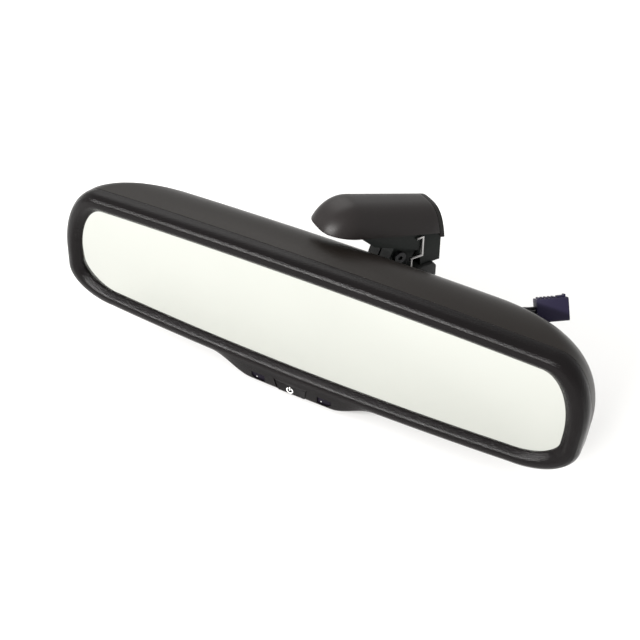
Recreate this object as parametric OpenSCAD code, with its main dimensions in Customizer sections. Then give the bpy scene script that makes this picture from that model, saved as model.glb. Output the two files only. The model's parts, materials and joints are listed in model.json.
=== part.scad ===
// Interior rearview mirror with a self-dimming glass, a power button and a hooded windshield mount.
// The origin is the middle of the channel floor that seats on the windshield's button.
// X runs along the mirror, the glass faces -Y, and Z is up.

/* [Mirror glass] */
// Width of the visible glass
glass_w = 238; // [190:1:290]
// Height of the visible glass at its middle
glass_h = 49; // [40:0.5:60]
// How far the top edge drops from the middle to the ends
top_drop = 2.1; // [0:0.1:4]
// How far the bottom edge rises from the middle to the ends
bottom_rise = 4.8; // [0:0.1:6]
// Width of each upper corner's curve
corner_top_w = 14.8; // [10:0.1:24]
// Height of each upper corner's curve
corner_top_h = 28; // [14:0.1:30]
// Width of each lower corner's curve
corner_bottom_w = 20.8; // [10:0.1:28]
// Height of each lower corner's curve
corner_bottom_h = 11.5; // [6:0.1:16]
// Thickness of the front glass
front_glass_t = 2; // [1.1:0.1:2.4]
// Thickness of the rear glass
rear_glass_t = 1.6; // [1.1:0.1:2]
// Gap between the glasses, which holds the dimming gel
gel_gap = 0.2; // [0.12:0.01:0.3]
// How far the glass runs under the bezel's lip
glass_lap = 2.6; // [1.5:0.1:3.5]
// Width of the seal around the gel
seal_w = 1.8; // [1:0.1:2.4]
// Thickness of the foam pad behind the glass
foam_t = 1; // [0.5:0.1:1.4]

/* [Head] */
// Width of the bezel's ring outside the visible glass
ring_w = 8.5; // [7:0.1:11]
// Height of the bezel's ridge in front of the glass
ridge_h = 3.4; // [2.4:0.1:5]
// Depth from the glass face to the seam between the bezel and the rear housing
seam_y = 4.5; // [4.2:0.1:8]
// Depth of the rear housing behind the seam
housing_d = 33.5; // [31:0.5:44]
// Wall of the rear housing
housing_wall = 2.2; // [1.6:0.1:3]
// Width of the seam line
seam_gap = 0.2; // [0.1:0.05:0.5]
// Thickness of the carrier plate
carrier_t = 2; // [1.5:0.1:2.6]
// How far the carrier plate stands out past the glass
carrier_lap = 1.2; // [0.5:0.1:1.6]

/* [Control pod] */
// Middle of the pod along the mirror
pod_x = -3; // [-20:1:20]
// Width of the pod's flat bottom
pod_w = 42; // [40:1:60]
// Length of the blend at each end of the pod
pod_blend = 21; // [12:1:30]
// How far the pod drops below the ring
pod_drop = 7.7; // [7.5:0.1:11]
// Width of the power button along its top edge
button_w = 16.6; // [14:0.1:19]
// Height of the power button
button_h = 6.2; // [5:0.1:6.6]
// Gap around the power button
button_gap = 0.3; // [0.2:0.05:0.5]
// Travel of the power button
button_travel = 0.8; // [0.4:0.1:1]
// Width of each window beside the button
window_w = 6.8; // [4:0.1:7]
// Height of each window beside the button
window_h = 3.6; // [2.5:0.1:4.5]

/* [Ball joint] */
// Diameter of the ball
ball_d = 15; // [13:0.5:17]
// Depth of the ball's centre inside the back of the rear housing
ball_inset = 4; // [2:0.5:5]
// Height of the ball's centre above the middle of the glass
ball_z = 4; // [0:0.5:6]
// Diameter of the ball's neck
neck_d = 6.4; // [5:0.1:7]
// Running clearance between the spheres
ball_gap = 0.05; // [0.02:0.01:0.1]
// Thickness of the nylon liner
liner_t = 1.15; // [0.8:0.05:1.6]
// Thickness of the spring cup
cup_t = 0.8; // [0.5:0.05:1.2]
// Half angle of the socket's mouth
mouth_angle = 70; // [69:0.5:74]

/* [Mount] */
// Turn of the mount from the head's own axis at rest
rest_pan = 35; // [20:1:36]
// Nod of the mount from the head's own axis at rest
rest_nod = 16.6; // [10:0.1:20]
// Distance of the seat's middle from the ball's centre, along the hood's line
seat_reach = 36; // [34:0.5:44]
// How far the seat's middle lies below the hood's lower edge
seat_drop = 4.2; // [2:0.1:7]
// Lean of the seat's normal above the hood's line
seat_rake = 22; // [18:1:30]
// Width of the hood
hood_w = 28; // [26:0.5:36]
// Height of the hood's crown above its lower edge
hood_rise = 12.3; // [10:0.1:24]
// Wall of the hood
hood_wall = 1.8; // [1.4:0.1:2.4]
// Reach of the hood's nose past the ball's centre
hood_nose = 22; // [18:0.5:28]
// Width of the channel that takes the windshield button
channel_w = 16; // [12:0.1:17]
// Height of the channel under its lips
channel_h = 4.4; // [4.2:0.1:5]
// Thickness of the spring clip
clip_t = 1.1; // [0.6:0.1:1.4]

/* [Harness] */
// Diameter of the lead
lead_d = 4.4; // [3:0.1:5.5]
// Length of the connector's body
connector_l = 13.5; // [11:0.5:24]
// Width of the connector's body
connector_w = 10; // [8:0.5:14]

/* [Hidden] */

// Fineness of round shapes and of the outline
$fn = 64;
steps_top = 20;
steps_corner = 8;
steps_bottom = 44;
steps_arch = 24;
// Share of an offset that also widens the corners
corner_growth = 0.6;
// Fullness of the rear housing's round back, and how much faster it tapers at the ends
back_power = 3.2;
end_taper = 3;
corner_spread = 40;
touch = 0.02;

// The layers of the head, from the glass face backwards
rear_glass_y = front_glass_t + gel_gap;
foam_y = rear_glass_y + rear_glass_t;
carrier_y = foam_y + foam_t;
board_t = 1.6;
board_y = carrier_y + carrier_t + 1.2;
board_back = board_y + board_t;
back_y = seam_y + housing_d;
ball_y = back_y - ball_inset;

// The bezel's section: offset from the visible glass, depth, and share of the pod's drop
lap_outer = ring_w - 0.9;
lap_inner = ring_w - housing_wall;
lap_front = seam_y - 1.7;
bezel_section = [[0, 0, 0], [0, -0.6, 0], [ring_w * 0.28, -ridge_h + 0.4, 0], [ring_w * 0.43, -ridge_h, 0],
    [ring_w * 0.66, -ridge_h + 0.5, 0.05], [ring_w * 0.83, -ridge_h + 1.5, 0.93],
    [ring_w * 0.96, -ridge_h + 3.6, 1], [ring_w, -ridge_h + 5.6, 1], [ring_w, seam_y - seam_gap / 2, 1],
    [lap_outer, seam_y - seam_gap / 2, 1], [lap_outer, lap_front, 1], [lap_inner, lap_front, 1],
    [lap_inner - 0.4, 0, 1]];

// The pod's sloping face, which the button and the windows sit in
face_top = [-glass_h / 2 - ring_w * 0.66, -ridge_h + 0.5];
face_bottom = [-glass_h / 2 - ring_w * 0.83 - 0.93 * pod_drop, -ridge_h + 1.5];
face_angle = atan2(face_bottom[1] - face_top[1], face_top[0] - face_bottom[0]);
button_drop = 3.2;
button_top = face_top[0] - button_drop;
button_x = pod_x + 0.4;
button_taper = 0.9;
window_drop = 2.6;
window_z = button_top - window_drop;
left_gap = 5.1;
right_gap = 5.7;
left_window_x = button_x - button_w / 2 - left_gap - window_w / 2;
right_window_x = button_x + button_w / 2 + right_gap + window_w / 2;
flange_t = 1.2;
flange_rest = 0.1;
switch_front = flange_rest + flange_t + button_travel + 1.2;

// Spheres of the ball joint, from the ball outwards
ball_r = ball_d / 2;
liner_in = ball_r + ball_gap;
liner_out = liner_in + liner_t;
cup_in = liner_out + ball_gap;
cup_out = cup_in + cup_t;
socket_in = cup_out + ball_gap;
socket_out = socket_in + 2.6;
flange_r = socket_out + 7;
screw_ring_r = socket_out + 3.8;
screw_r = 1.25;
ball_point = [0, ball_y, ball_z];
socket_angles = [30, 150, 270];
flange_back = ball_y - 5.5;
flange_front = flange_back - 2.6;

// The hood's lower edge and crown, and the seat's middle, seen from the ball along the hood's line
leg_low = glass_h / 2 + ring_w - ball_z + 1.2;
hood_crown = leg_low + hood_rise;
seat_f = seat_reach;
seat_c = leg_low - seat_drop;
seat_run = seat_f * cos(rest_nod) + seat_c * sin(rest_nod);
seat_point = ball_point + [seat_run * sin(rest_pan), seat_run * cos(rest_pan),
    seat_c * cos(rest_nod) - seat_f * sin(rest_nod)];

// Sizes of the bracket, along the hood's line
beam_half = hood_w / 2 - 4;
beam_low = leg_low - 6.2;
beam_high = hood_crown - 8;
clamp_half = beam_half - 2;
clamp_back = 17.5;
clamp_front = seat_f - 6.2;
clamp_low = 2.5;
foot_t = 5;
foot_up = 14;
foot_cut = 6;
beam_start = -9;
beam_cut = 2;
foot_down = 8.8;
lip_t = 1.2;
lip_reach = 1.1;
rail_top = channel_h + lip_t;
leg_rise = 0.126;
stem_rise = 24;
stem_l = 32;
rim_w = 2.2;
rim_tab = 1.9;
clamp_screw_f = 22;
clamp_screw_c = 19;
block_half = beam_half + 1.6;

// The lead's route behind the head, from the grommet's tip over two clips to the connector
lead_start = [30, back_y + 5.4, -14];
lead_run = glass_w / 2 - 30 - lead_start[0];
lead_offsets = [[0, 0, 0], [0, 5, 0.5], [0.076, 9, 2.5], [0.203, 9.5, 6.5], [0.339, 7, 11.5],
    [0.475, 3.5, 16.5], [0.61, 1.2, 21.2], [0.746, -0.2, 25.4], [0.881, -0.6, 28.4], [1, 1.6, 30]];
lead_route = [for (o = lead_offsets) lead_start + [o[0] * lead_run, o[1], o[2]]];
lead_end = lead_route[len(lead_route) - 1];
clip_stations = [5, 7];
grommet_r = lead_d / 2 + 1.6;
inner_route = [[30, board_back + 7, -8], [30, board_back + 11, -9], [30, board_back + 16, -12],
    [30, board_back + 21, -14], [30, back_y - housing_wall, -14]];
connector_turn = [-32, -8, 30];
connector_dir = [cos(connector_turn[1]) * cos(connector_turn[2]),
    cos(connector_turn[1]) * sin(connector_turn[2]),
    -sin(connector_turn[1])];
pin_y = [-1.5, 1.5];
pin_z = [-2.6, 0, 2.6];
connector_side = 4.2;
rib_count = 5;

// ---------- outlines and lofts ----------

function clamp01(t) = max(0, min(1, t));
function smooth(t) = let (c = clamp01(t)) c * c * (3 - 2 * c);
function bow(x) = pow(x / (glass_w / 2), 2);
function pod_share(x) = smooth((pod_w / 2 + pod_blend - abs(x - pod_x)) / pod_blend);

// Closed outline, as [x, z] points, at an offset from the visible glass
function outline(d, pod = 0, spread = 0) =
    let (hw = glass_w / 2 + d, hh = glass_h / 2 + d,
         tw = corner_top_w + corner_growth * d + spread,
         bw = corner_bottom_w + corner_growth * d + spread,
         th0 = corner_top_h + corner_growth * d + spread / 3,
         bh0 = corner_bottom_h + corner_growth * d + spread / 3,
         limit = min(1, 0.96 * (2 * hh - top_drop - bottom_rise) / (th0 + bh0)),
         th = th0 * limit, bh = bh0 * limit, xt = hw - tw, xb = hw - bw,
         zt = hh - top_drop * bow(xt), zb = -hh + bottom_rise * bow(xb),
         right_top = [for (i = [1:steps_corner]) let (t = 90 * i / steps_corner)
             [xt + tw * sin(t), zt - th + th * cos(t)]],
         right_bottom = [for (i = [0:steps_corner - 1]) let (t = 90 * i / steps_corner)
             [xb + bw * cos(t), zb + bh - bh * sin(t)]])
    concat(
        [for (i = [0:steps_top]) let (x = -xt + 2 * xt * i / steps_top) [x, hh - top_drop * bow(x)]],
        right_top, right_bottom,
        [for (i = [0:steps_bottom]) let (x = xb - 2 * xb * i / steps_bottom)
            [x, -hh + bottom_rise * bow(x) - pod * pod_drop * pod_share(x)]],
        [for (i = [1:steps_corner]) let (p = right_bottom[steps_corner - i]) [-p[0], p[1]]],
        [for (i = [1:steps_corner]) let (p = right_top[steps_corner - i]) [-p[0], p[1]]]);

function at_depth(points, y) = [for (p = points) [p[0], y, p[1]]];

// Turns at which the rear housing's skin has a ring
back_turns = [82, 75, 66, 56, 44, 32, 20, 9, 4, 0];

// One ring of the rear housing's skin: q runs from 0 at the seam to 90 at the middle of the back
function back_ring(q, wall) =
    let (s = pow(cos(q), 2 / back_power), y = seam_y + (housing_d - wall) * pow(sin(q), 2 / back_power),
         hh = glass_h / 2 + ring_w, xs = 1 - (1 - s) * hh * end_taper / (glass_w / 2 + ring_w),
         pod = 1 - smooth((y - seam_y - 6) / 12))
    at_depth([for (p = outline(ring_w - wall, pod, corner_spread * sin(q))) [p[0] * xs, p[1] * s]], y);

// Solid through a list of rings that have equal numbers of points; ring_closed joins the last to the first
module loft(rings, ring_closed = false) {
    n = len(rings[0]);
    last = len(rings) - 1;
    points = [for (r = rings) for (p = r) p];
    sides = [for (k = [0:ring_closed ? last : last - 1]) for (i = [0:n - 1])
        let (a = k * n + i, b = k * n + (i + 1) % n, c = ((k + 1) % (last + 1)) * n)
        for (f = [[a, c + (i + 1) % n, b], [a, c + i, c + (i + 1) % n]]) f];
    caps = ring_closed ? [] : [[for (i = [0:n - 1]) i], [for (i = [n - 1:-1:0]) last * n + i]];
    polyhedron(points, concat(sides, caps), convexity = 8);
}

// Flat plate that follows the glass outline
module plate(offset_d, y0, y1, pod = 0) {
    translate([0, y1, 0]) rotate([90, 0, 0]) linear_extrude(y1 - y0) polygon(outline(offset_d, pod));
}

// Box between two corners
module slab(a, b) {
    translate(a) cube(b - a);
}

// Cylinder along +Y
module rod(at, r, l) {
    translate(at) rotate([-90, 0, 0]) cylinder(h = l, r = r);
}

// ---------- frames ----------

module head() {
    translate(-seat_point) children();
}

module at_ball() {
    head() translate(ball_point) children();
}

// X across the hood, Y forward along its line, Z to its crown
module mount_frame() {
    at_ball() rotate([-rest_nod, 0, -rest_pan]) children();
}

// X across the seat, Y down the windshield, Z out towards the windshield
module seat_frame() {
    mount_frame() translate([0, seat_f, seat_c]) rotate([seat_rake - 90, 0, 0]) children();
}

module connector_frame() {
    head() translate(lead_end) rotate(connector_turn) children();
}

// ---------- shapes that repeat ----------

// Everything behind the pod's sloping face, set back by a recess
module behind_face(recess) {
    translate([pod_x, face_top[1] + recess, face_top[0]]) rotate([face_angle, 0, 0])
        translate([-60, 0, -40]) cube([120, 20, 60]);
}

// Button outline, wider along its top, grown by a gap
module button_shape(grow, y0, y1) {
    w = button_w / 2 + grow;
    translate([button_x, y1, 0]) rotate([90, 0, 0]) linear_extrude(y1 - y0)
        polygon([[-w, button_top + grow], [w, button_top + grow],
            [w - button_taper, button_top - button_h - grow], [-w + 2 * button_taper,
                button_top - button_h - grow]]);
}

// Window outline with a cut lower corner on its outer side; side is -1 or 1
module window_shape(x, side, grow, y0, y1) {
    w = window_w / 2 + grow;
    h = window_h / 2 + grow;
    translate([x, y1, window_z]) rotate([90, 0, 0]) linear_extrude(y1 - y0)
        polygon([[-w, h], [w, h], [w, -h + (side > 0 ? 1.6 : 0)], [w - (side > 0 ? 1.6 : 0), -h],
            [-w + (side < 0 ? 1.6 : 0), -h], [-w, -h + (side < 0 ? 1.6 : 0)]]);
}

// Quarter-plane arc of a sphere's section, from its back pole up to a height
function sphere_arc(r, height) =
    let (top = asin(height / r))
    [for (i = [0:steps_arch]) let (a = -90 + (top + 90) * i / steps_arch) [r * cos(a), r * sin(a)]];

// Ball-shaped shell with a flat mouth towards +Y
module ball_shell(r_in, r_out, mouth) {
    inner = sphere_arc(r_in, mouth);
    rotate([-90, 0, 0]) rotate_extrude()
        polygon(concat(inner, [for (i = [steps_arch:-1:0]) sphere_arc(r_out, mouth)[i]]));
}

// Round tube swept along a route, one ring per point of the smoothed route
module tube(route, d, sides, per_span, start_dir, end_dir) {
    function mid(i, t) = let (a = route[max(0, i - 1)], b = route[i], c = route[i + 1],
        e = route[min(len(route) - 1, i + 2)])
        0.5 * (2 * b + (c - a) * t + (2 * a - 5 * b + 4 * c - e) * t * t + (3 * b - a - 3 * c + e)
            * t * t * t);
    path = concat([for (i = [0:len(route) - 2]) for (k = [0:per_span - 1]) mid(i, k / per_span)],
        [route[len(route) - 1]]);
    n = len(path);
    rings = [for (i = [0:n - 1])
        let (v = i == 0 ? start_dir : i == n - 1 ? end_dir : path[i + 1] - path[i - 1], t = v / norm(v),
             s0 = cross(t, [0, 0, 1]), s = s0 / norm(s0), u = cross(s, t))
        [for (k = [0:sides - 1]) let (w = 360 * k / sides) path[i] + d / 2 * (cos(w) * s - sin(w) * u)]];
    loft(rings);
}

// ---------- head: case ----------

module bezel() {
    color("#1d1b1c") head() difference() {
        loft([for (p = bezel_section) at_depth(outline(p[0], p[2]), p[1])], true);
        button_shape(button_gap, -ridge_h - 2, 1.7 + button_travel);
        window_shape(left_window_x, -1, 0.1, -ridge_h - 2, seam_y / 2);
        window_shape(right_window_x, 1, 0.1, -ridge_h - 2, seam_y / 2);
    }
}

module rear_housing() {
    n = len(back_turns);
    tongue = lap_outer - seam_gap;
    color("#3a3533") head() difference() {
        union() {
            loft(concat(
                [for (i = [0:n - 1]) back_ring(back_turns[i], housing_wall)],
                [at_depth(outline(lap_inner, 1), lap_front + seam_gap),
                 at_depth(outline(tongue, 1), lap_front + seam_gap),
                 at_depth(outline(tongue, 1), seam_y + seam_gap / 2),
                 at_depth(outline(ring_w, 1), seam_y + seam_gap / 2)],
                [for (i = [n - 2:-1:0]) back_ring(back_turns[i], 0)]));
            for (a = socket_angles) screw_place(a) rod([0, flange_back, 0], 3, back_y - flange_back - 1);
        }
        rod([0, ball_y - 4, ball_z], socket_out + 0.4, 20);
        rod([lead_start[0], back_y - 8, lead_start[2]], grommet_r, 20);
        rod([ambient_x, board_back + 4, ambient_z], ambient_r + 0.1, 40);
        for (a = socket_angles) screw_place(a) rod([0, flange_back - 1, 0], screw_r, 4.6);
    }
}

// ---------- head: glass ----------

module front_glass() {
    color("#dfe6df", 0.6) head() plate(glass_lap, 0, front_glass_t);
}

module dimming_gel() {
    color("#c9d6cf", 0.5) head() plate(glass_lap - seal_w - 0.4, front_glass_t, rear_glass_y);
}

module gel_seal() {
    color("#8d8f90") head() difference() {
        plate(glass_lap - 0.4, front_glass_t, rear_glass_y);
        plate(glass_lap - seal_w - 0.4, front_glass_t - 1, rear_glass_y + 1);
    }
}

module rear_glass() {
    color("#b9bfc2") head() plate(glass_lap - 0.3, rear_glass_y, foam_y);
}

// One strip along each long edge, folded over the back of the rear glass
module bus_clips() {
    strip_x = glass_w * 0.36;
    edge = glass_h / 2 + glass_lap;
    color("#c98b4a") head() for (side = [1, -1]) {
        drop = side > 0 ? top_drop : bottom_rise;
        intersection() {
            difference() {
                plate(glass_lap + 1, 0.6, foam_y + 0.25);
                plate(glass_lap + 0.1, 0, foam_y);
                plate(glass_lap - 1.2, 0, foam_y + 2);
            }
            slab([-strip_x, -1, side > 0 ? edge - drop * 0.6 - 1.6 : -edge - 3],
                [strip_x, 10, side > 0 ? edge + 3 : -edge + drop * 0.6 + 1.6]);
        }
    }
}

module foam_pad() {
    color("#4b4b4d") head() plate(0.5, foam_y + touch, carrier_y);
}

module carrier_plate() {
    color("#26282a") head() difference() {
        union() {
            plate(glass_lap + carrier_lap, carrier_y, carrier_y + carrier_t);
            for (x = board_x, z = board_z)
                rod([x, carrier_y + carrier_t - touch, z], 3, board_y - carrier_y - carrier_t + touch);
        }
        for (x = board_x, z = board_z) rod([x, carrier_y + 0.8, z], 1.1, 8);
    }
}

// ---------- head: electronics ----------

board_half = 41;
board_low = -glass_h / 2 - ring_w - pod_drop + housing_wall + 0.9;
board_high = glass_h / 2 - 8.5;
board_shoulder = -glass_h / 2 - 3;
board_x = [pod_x - board_half + 5, pod_x + board_half - 5];
board_z = [board_shoulder + 7.5, board_high - 4];
ambient_x = -30;
ambient_z = 7;
ambient_r = 2.8;
switch_z = board_low + 2.4;
plunger_r = 1.5;

module circuit_board() {
    tongue_half = pod_w / 2 - 2.5;
    color("#1f5a3a") head() difference() {
        union() {
            slab([pod_x - board_half, board_y, board_shoulder], [pod_x + board_half, board_back,
                board_high]);
            slab([pod_x - tongue_half, board_y, board_low], [pod_x + tongue_half, board_back,
                board_shoulder + touch]);
        }
        for (x = board_x, z = board_z) rod([x, board_y - 1, z], 1.1, 8);
    }
}

// Controller, driver and four small capacitors on the back of the board
module board_chips() {
    color("#151515") head() {
        slab([-14, board_back, -12], [-2, board_back + 1.4, 0]);
        slab([6, board_back, 2], [14, board_back + 1.6, 8]);
        for (i = [0:3]) rod([-26 + 5.5 * i, board_back, -24], 2.1, 5);
    }
}

module board_header() {
    color("#e8e2d2") head() slab([23, board_back, -12], [37, board_back + 7, -4]);
}

module tact_switch() {
    color("#2b2b2e") head() difference() {
        slab([button_x - 3, switch_front, switch_z - 2.1], [button_x + 3, board_y, switch_z + 2.1]);
        rod([button_x, switch_front - 1, switch_z], plunger_r + 0.08, 2.6);
    }
}

module indicator_led() {
    color("#d8e8c8") head() slab([left_window_x - 0.8, board_y - 1.1, window_z - 0.6],
        [left_window_x + 0.8, board_y, window_z + 0.6]);
}

module glare_sensor() {
    color("#3a3f4a") head() {
        slab([right_window_x - 1.6, board_y - 1.4, window_z - 1.6], [right_window_x + 1.6, board_y,
            window_z + 1.6]);
        rod([right_window_x, board_y - 3, window_z], 1.2, 3);
    }
}

module ambient_sensor() {
    color("#3a3f4a") head() {
        slab([ambient_x - 1.8, board_back, ambient_z - 1.8], [ambient_x + 1.8, board_back + 1.2,
            ambient_z + 1.8]);
        rod([ambient_x, board_back, ambient_z], 1.3, 2.6);
    }
}

// Light pipe from the sensor to the back of the housing
module ambient_lens() {
    color("#55585c", 0.8) head() union() {
        rod([ambient_x, board_back + 3, ambient_z], ambient_r - 0.6, 10);
        rod([ambient_x, board_back + 12, ambient_z], ambient_r, back_y - board_back - 12 - 0.1);
    }
}

module indicator_window() {
    color("#1a1622") head() intersection() {
        window_shape(left_window_x, -1, 0, -ridge_h, 0.3);
        behind_face(0.5);
    }
}

module sensor_window() {
    color("#1a1622") head() intersection() {
        window_shape(right_window_x, 1, 0, -ridge_h, 0.3);
        behind_face(0.5);
    }
}

// ---------- head: power button ----------

symbol_z = button_top - button_h + 2.3;
symbol_r = 1.75;
symbol_line = 0.5;
symbol_back = face_top[1] + 1.6;

// Ring open at the top with an upright bar, cut to a depth from y0 to y1
module symbol_shape(y0, y1) {
    translate([button_x - 0.3, y1, symbol_z]) rotate([90, 0, 0]) linear_extrude(y1 - y0) {
        difference() {
            circle(symbol_r);
            circle(symbol_r - symbol_line);
            polygon([[0, 0], [-1.2, 2.2], [1.2, 2.2]]);
        }
        translate([-symbol_line / 2, 0.1]) square([symbol_line, symbol_r + 0.35]);
    }
}

module power_button() {
    color("#1b191b") head() difference() {
        union() {
            intersection() {
                button_shape(0, -ridge_h, flange_rest + touch);
                behind_face(0.25);
            }
            slab([button_x - button_w / 2 - 1.2, flange_rest, face_bottom[0] + 1.3],
                [button_x + button_w / 2 + 1.2, flange_rest + flange_t, button_top + 1.4]);
        }
        symbol_shape(-ridge_h, symbol_back);
    }
}

module power_symbol() {
    color("#f2f2f2") head() intersection() {
        symbol_shape(-ridge_h, symbol_back);
        behind_face(0.22);
    }
}

module switch_plunger() {
    color("#d9d4c6") head() rod([button_x, flange_rest + flange_t, switch_z], plunger_r,
        switch_front - flange_rest - flange_t + 0.2);
}

// ---------- head: ball socket ----------

module screw_place(angle) {
    translate([screw_ring_r * cos(angle), 0, ball_z + screw_ring_r * sin(angle)]) children();
}

module ball_liner() {
    color("#e9e6dc") at_ball() ball_shell(liner_in, liner_out, liner_in * cos(mouth_angle));
}

// Slotted steel cup that presses the liner on the ball
module spring_cup() {
    color("#9aa0a4") at_ball() difference() {
        ball_shell(cup_in, cup_out, cup_in * cos(mouth_angle));
        for (a = [0:60:120]) rotate([0, a, 0]) slab([-0.6, -cup_in * 0.35, -cup_out * 2], [0.6, cup_out,
            cup_out * 2]);
    }
}

module ball_socket() {
    mouth = socket_in * cos(mouth_angle);
    color("#232427") head() difference() {
        translate(ball_point) rotate([-90, 0, 0]) rotate_extrude()
            polygon(concat(sphere_arc(socket_in, mouth), [[socket_out, mouth],
                [socket_out, flange_back - ball_y], [flange_r, flange_back - ball_y],
                [flange_r, flange_front - ball_y], [socket_out, flange_front - ball_y],
                [socket_out, -socket_out], [0, -socket_out]]));
        for (a = socket_angles) screw_place(a) rod([0, flange_front - 1, 0], screw_r + 0.25, 8);
    }
}

module socket_screws() {
    color("#8b8f93") head() for (a = socket_angles) screw_place(a) difference() {
        union() {
            rod([0, flange_front - 1.6, 0], 2.4, 1.6);
            rod([0, flange_front - touch, 0], screw_r - 0.02, 6);
        }
        rod([0, flange_front - 2.6, 0], 0.9, 1.8);
    }
}

// ---------- head: harness ----------

module inner_lead() {
    color("#151515") head() tube(inner_route, lead_d - 1, 10, 2, [0, 1, 0], [0, 1, 0]);
}

// Flanged grommet with a tapered strain relief
module lead_grommet() {
    reach = lead_start[1] - back_y;
    color("#1b1b1b") head() translate([lead_start[0], back_y, lead_start[2]]) rotate([-90, 0, 0])
        rotate_extrude() polygon([[0, -housing_wall], [grommet_r - 0.05, -housing_wall],
            [grommet_r - 0.05, 0.1],
            [grommet_r + 1.2, 0.1], [grommet_r + 1.2, 1.1], [grommet_r - 0.3, 1.4], [lead_d / 2 + 0.5,
                reach],
            [0, reach]]);
}

// Moulded posts with open rings that hold the lead to the back of the housing
module lead_clips() {
    bore_r = lead_d / 2 + 0.25;
    ring_r = bore_r + 1.2;
    color("#2a2827") head() difference() {
        for (k = clip_stations) {
            d = lead_route[k + 1] - lead_route[k - 1];
            translate(lead_route[k]) rotate([0, -atan2(d[2], norm([d[0], d[1]])), atan2(d[1],
                d[0])]) difference() {
                union() {
                    translate([-2.2, 0, 0]) rotate([0, 90, 0]) cylinder(h = 4.4, r = ring_r);
                    slab([-2.2, -12, -1.5], [2.2, -bore_r, 1.5]);
                }
                translate([-8, 0, 0]) rotate([0, 90, 0]) cylinder(h = 16, r = bore_r);
                slab([-8, 0.8, -bore_r + 0.7], [8, ring_r + 1, bore_r - 0.7]);
            }
        }
        loft([for (i = [len(back_turns) - 1:-1:0]) back_ring(back_turns[i], 0)]);
    }
}

module harness_lead() {
    color("#17151a") head() tube(lead_route, lead_d, 10, 2, [0, 1, 0], connector_dir);
}

// Plug shell with chamfered corners, a ribbed top edge and a slanted lower corner towards the lead
module connector_body() {
    h = connector_w / 2;
    s = connector_side;
    color("#241f33") connector_frame() difference() {
        union() {
            rotate([90, 0, 90]) linear_extrude(connector_l)
                polygon([[0.7 - s, -h], [s - 0.7, -h], [s, 0.7 - h], [s, h - 0.7], [s - 0.7, h],
                    [0.7 - s, h], [-s, h - 0.7], [-s, 0.7 - h]]);
            for (i = [0:rib_count - 1]) slab([1 + 1.6 * i, -s * 0.7, h - touch], [1.8 + 1.6 * i, s * 0.7,
                h + 0.6]);
        }
        translate([0, 0, -h * 0.15]) rotate([0, 50, 0]) slab([-9, -s - 1, -20], [0, s + 1, 0]);
        for (y = pin_y, z = pin_z) slab([connector_l - 5, y - 0.7, z - 0.7], [connector_l + 1, y + 0.7,
            z + 0.7]);
    }
}

module connector_lock() {
    h = connector_w / 2;
    color("#2d2840") connector_frame() union() {
        slab([connector_l - 4.5, -1.6, h], [connector_l - 0.6, 1.6, h + 0.8]);
        slab([connector_l - 1.6, -1.6, h + 0.8 - touch], [connector_l - 0.6, 1.6, h + 1.3]);
    }
}

module connector_pins() {
    color("#c9a24a") connector_frame() for (y = pin_y, z = pin_z)
        slab([connector_l - 5, y - 0.35, z - 0.35], [connector_l - 0.8, y + 0.35, z + 0.35]);
}

// ---------- mount ----------

module ball_stud() {
    color("#7f8488") mount_frame() union() {
        sphere(ball_r);
        rotate([stem_rise - 90, 0, 0]) cylinder(h = stem_l, r = neck_d / 2);
    }
}

// Cast arm: clamp on the ball's neck, beam under the hood, and the foot with its channel
module mount_bracket() {
    color("#1a201d") difference() {
        union() {
            mount_frame() translate([0, seat_f - 6, 0]) rotate([90, 0,
                0]) linear_extrude(seat_f - 6 - beam_start)
                polygon([[-beam_half, beam_low], [beam_half, beam_low], [beam_half,
                    beam_high - beam_cut * 2],
                    [beam_half - beam_cut, beam_high], [beam_cut - beam_half, beam_high],
                    [-beam_half, beam_high - beam_cut * 2]]);
            mount_frame() slab([-clamp_half, clamp_back, clamp_low], [clamp_half, clamp_front,
                beam_low + touch]);
            seat_frame() translate([0, 0, -foot_t]) linear_extrude(foot_t + rail_top)
                polygon([[-beam_half, foot_down], [-beam_half, foot_cut - foot_up],
                    [foot_cut / 2 - beam_half, -foot_up],
                    [beam_half - foot_cut / 2, -foot_up], [beam_half, foot_cut - foot_up], [beam_half,
                        foot_down]]);
        }
        seat_frame() slab([-channel_w / 2, -foot_up + 2, 0], [channel_w / 2, 60, channel_h]);
        seat_frame() slab([-channel_w / 2 + lip_reach, -foot_up + 2, 0], [channel_w / 2 - lip_reach, 60,
            30]);
        mount_frame() rotate([stem_rise - 90, 0, 0]) cylinder(h = stem_l + 1, r = neck_d / 2);
        mount_frame() translate([0, beam_start, beam_low + 6]) rotate([-23, 0, 0]) slab([-20, -10, -20],
            [20, 15.2, 0]);
        mount_frame() slab([-0.5, clamp_back - 1, clamp_low + 8], [0.5, clamp_front - 4, beam_low]);
        mount_frame() translate([-clamp_half - 1, clamp_screw_f, clamp_screw_c]) rotate([0, 90, 0])
            cylinder(h = 2 * clamp_half + 2, r = 1.6);
    }
}

module clamp_screw() {
    color("#b8bcc0") mount_frame() translate([clamp_half, clamp_screw_f, clamp_screw_c]) rotate([0, 90, 0])
        difference() {
            union() {
                cylinder(h = 1.8, r = 2.9);
                translate([0, 0, -2 * clamp_half]) cylinder(h = 2 * clamp_half + touch, r = 1.58);
            }
            translate([0, 0, 0.8]) cylinder(h = 2, r = 1.2, $fn = 6);
        }
}

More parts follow.
